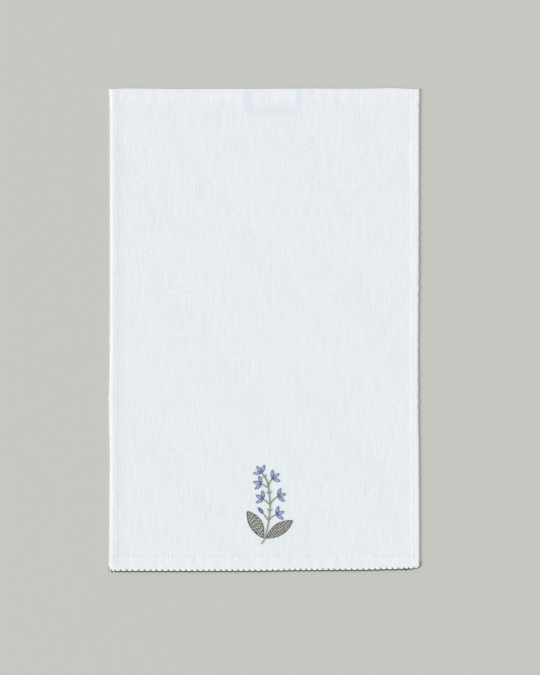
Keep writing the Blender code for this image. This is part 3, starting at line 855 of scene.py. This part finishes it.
def smooth_line(points, step=1.0 * mm):
    """A Catmull-Rom curve through points of the flat towel."""
    points = np.array(points)
    padded = np.concatenate([[2 * points[0] - points[1]], points, [2 * points[-1] - points[-2]]])
    line = []
    for a, b, c, d in zip(padded, padded[1:], padded[2:], padded[3:]):
        for t in np.linspace(0, 1, max(2, round(np.hypot(*(c - b)) / step)), endpoint=False):
            bend = (2 * a - 5 * b + 4 * c - d) * t * t + (3 * b - a - 3 * c + d) * t**3
            line.append(b + 0.5 * ((c - a) * t + bend))
    return np.array(line + [points[-1]])


stalk_routes, bract_routes = [], []
stalks = [(base, grows) for base, _facing, grows in flowers.values() if grows is not None]
for base, grows in stalks + [(bud_base, bud_from)]:
    start, end = stem_line[grows], np.array(base) * mm
    bow = right_bow if end[0] > start[0] else left_bow
    stalk_routes.append(laid(bent(start, end, bow), branch_half))
for at in bracts_at:
    way = stem_line[at + 1] - stem_line[at - 1]
    heading = math.atan2(way[1], way[0])
    for side in (-1, 1):
        angle = heading + side * bract_spread
        tip = stem_line[at] + bract_long * np.array((math.cos(angle), math.sin(angle)))
        bract_routes.append(laid(bent(stem_line[at], tip, side * bract_bow), bract_half))
stem_route = laid(smooth_line(stem_line), stem_half)
stem_lay, stem_step, branch_lay, bract_lay = 4.2 * mm, 0.4 * mm, 3.2 * mm, 3.0 * mm
stem_bundle, stalk_bundle = [(sage_thread, [stem_route])], [(sage_thread, stalk_routes)]
stem = thread_piece("stem_stitches", stem_bundle, stem_half, 3, stem_lay, stem_step)
stalk = thread_piece("stalk_stitches", stalk_bundle, branch_half, 2, branch_lay)
bract = thread_piece("bract_stitches", [(sage_thread, bract_routes)], bract_half, 2, bract_lay)
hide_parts("stem")

# Leaves: a dark taupe outline in back stitch, filled with slanting rows of darning stitches,
# dark and light rows by turns, with the white cloth showing between them.
taupe_thread = cotton_thread("dark_taupe_stranded_cotton", "69644B", "4C4834", 0.15)
pale_taupe_thread = cotton_thread("pale_taupe_stranded_cotton", "AEAA92", "908C75", 0.15)
# Each leaf: root, tip, half width and bow in mm, slant of its rows in degrees, and the rows'
# pitch and the gap between pale stitches in mm.
leaves = {
    "leaf_left": ((-1.7, -302.6), (-25.9, -262.5), 9.3, -1.1, -54, 3.0, 2.8),
    "leaf_right": ((2.0, -302.6), (41.0, -276.5), 8.9, 0.4, -46, 3.2, 1.1),
}
leaf_full, leaf_inset, leaf_rows = 0.8, 0.5 * mm, np.arange(-12, 13)
leaf_thread, leaf_lay, leaf_step = 0.66 * mm, 2.4 * mm, 0.5 * mm
outline_stitch, outline_rise = 2.6 * mm, 0.45 * mm
dark_long, dark_gap, dark_margin, dark_rise = 5.2 * mm, 0.6 * mm, 0.4 * mm, 0.5 * mm
pale_long, pale_margin, pale_rise = 1.8 * mm, 0.8 * mm, 0.2 * mm
shortest_stitch = 0.8 * mm
hand = np.random.default_rng(5)


def lobe_rim(root, tip, half, full, bow=0.0, inset=0.0, parts=24):
    """The closed outline of a leaf or petal, drawn in by an inset. Sizes come in millimetres."""
    root, tip = np.array(root) * mm, np.array(tip) * mm
    way = tip - root
    side = np.array((-way[1], way[0])) / np.hypot(*way)
    share = np.linspace(0, 1, parts + 1)[:, None]
    bulge = np.sin(np.pi * share)
    spread = np.maximum(half * mm * bulge**full - inset, 0.0)
    middle = root + way * (share * (1 - 2 * inset / np.hypot(*way)) + inset / np.hypot(*way))
    middle = middle + side * bow * mm * bulge
    return np.concatenate([middle + side * spread, (middle - side * spread)[-2:0:-1]])


def sewn_round(rim, long, rise, gap=0.2):
    """Back stitches round a closed outline, a share of each one's length from the next."""
    closed = np.c_[np.concatenate([rim, rim[:1]]), np.zeros(len(rim) + 1)]
    reach = np.concatenate([[0], np.cumsum(np.linalg.norm(np.diff(closed, axis=0), axis=1))])
    at = np.linspace(0, reach[-1], round(reach[-1] / long) + 1)
    ends = np.stack([np.interp(at, reach, closed[:, k]) for k in (0, 1)], axis=1)
    pairs = [(a + (b - a) * gap / 2, b - (b - a) * gap / 2) for a, b in zip(ends, ends[1:])]
    return [stitch(a, b, rise, 0.15 * mm, 4) for a, b in pairs]


def sewn_rows(rim, angle, shifts, long, gap, margin, rise):
    """Rows of straight stitches at an angle, each row a shift away from the outline's middle."""
    middle = rim.mean(axis=0)
    way = np.array((math.cos(angle), math.sin(angle)))
    across = np.array((-way[1], way[0]))
    stitches = []
    for shift in shifts:
        place = middle + across * shift
        off = (rim - place) @ across
        met = []
        for a, b, off_a, off_b in zip(rim, np.roll(rim, -1, 0), off, np.roll(off, -1)):
            if off_a * off_b < 0:
                met.append(float((a + (b - a) * off_a / (off_a - off_b) - place) @ way))
        if len(met) < 2:
            continue
        low, high = min(met) + margin, max(met) - margin
        at = low - hand.uniform(0, long)
        while at < high:
            length = long * hand.uniform(0.6, 1.4)
            ends = [max(at, low), min(at + length, high)]
            if ends[1] - ends[0] > shortest_stitch:
                start, end = place + way * ends[0], place + way * ends[1]
                stitches.append(stitch(start, end, rise, 0.2 * mm, 4))
            at += length + gap * hand.uniform(0.7, 1.3)
    return stitches


for name, (root, tip, half, bow, slant, pitch, pale_gap) in leaves.items():
    rim = lobe_rim(root, tip, half, leaf_full, bow, leaf_inset)
    angle, dark_rows = math.radians(slant), leaf_rows * pitch * mm
    dark = sewn_rows(rim, angle, dark_rows, dark_long, dark_gap, dark_margin, dark_rise)
    pale_rows = dark_rows + pitch / 2 * mm
    pale = sewn_rows(rim, angle, pale_rows, pale_long, pale_gap * mm, pale_margin, pale_rise)
    dark += sewn_round(rim, outline_stitch, outline_rise)
    bundles = [(taupe_thread, dark), (pale_taupe_thread, pale)]
    leaf = thread_piece(name + "_stitches", bundles, leaf_thread, 2, leaf_lay, leaf_step)
    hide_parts(name)

# Flowers and bud: three petals to a flower and one to the bud, outlined in mid blue back
# stitch, with rows of lighter straight stitches along each petal and one dark one at its base.
blue_thread = cotton_thread("mid_blue_stranded_cotton", "5A6BB0", "435499", 0.15)
light_thread = cotton_thread("light_blue_stranded_cotton", "C9D3EA", "A6B3DA", 0.15)
petal_long, petal_half, petal_fan, petal_full = 13.0, 2.6, 54, 0.6
petal_thread, petal_lay, petal_inset = 0.48 * mm, 2.2 * mm, 0.45 * mm
rim_stitch, rim_rise, row_aside = 1.9 * mm, 0.5 * mm, 0.85 * mm
light_row = (1.9 * mm, 0.7 * mm, 1.0 * mm, 0.3 * mm)
bud_dark_row = (3.0 * mm, 0.4 * mm, 0.8 * mm, 0.4 * mm)
bud_light_row = (3.0 * mm, 0.5 * mm, 1.2 * mm, 0.4 * mm)
base_stitch = (1.4, 4.6)
fan = (0, petal_fan, -petal_fan)
heads = {name: (base, facing, fan) for name, (base, facing, _grows) in flowers.items()}
heads["bud"] = (bud_base, bud_facing, (0,))
for name, (base, facing, turns) in heads.items():
    rims, fill = [], []
    for turn in turns:
        angle = math.radians(facing + turn)
        tip = (base[0] + petal_long * math.cos(angle), base[1] + petal_long * math.sin(angle))
        rim = lobe_rim(base, tip, petal_half, petal_full, 0.0, petal_inset)
        rims += sewn_round(rim, rim_stitch, rim_rise)
        if name == "bud":
            rims += sewn_rows(rim, angle, (-row_aside, row_aside), *bud_dark_row)
            fill += sewn_rows(rim, angle, (0.0,), *bud_light_row)
            continue
        fill += sewn_rows(rim, angle, (-row_aside, 0.0, row_aside), *light_row)
        way = np.array((math.cos(angle), math.sin(angle)))
        start, end = [(np.array(base) + out * way) * mm for out in base_stitch]
        rims.append(stitch(start, end, rim_rise))
    bundles = [(blue_thread, rims), (light_thread, fill)]
    head = thread_piece(name + "_stitches", bundles, petal_thread, 2, petal_lay)
    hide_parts(name)
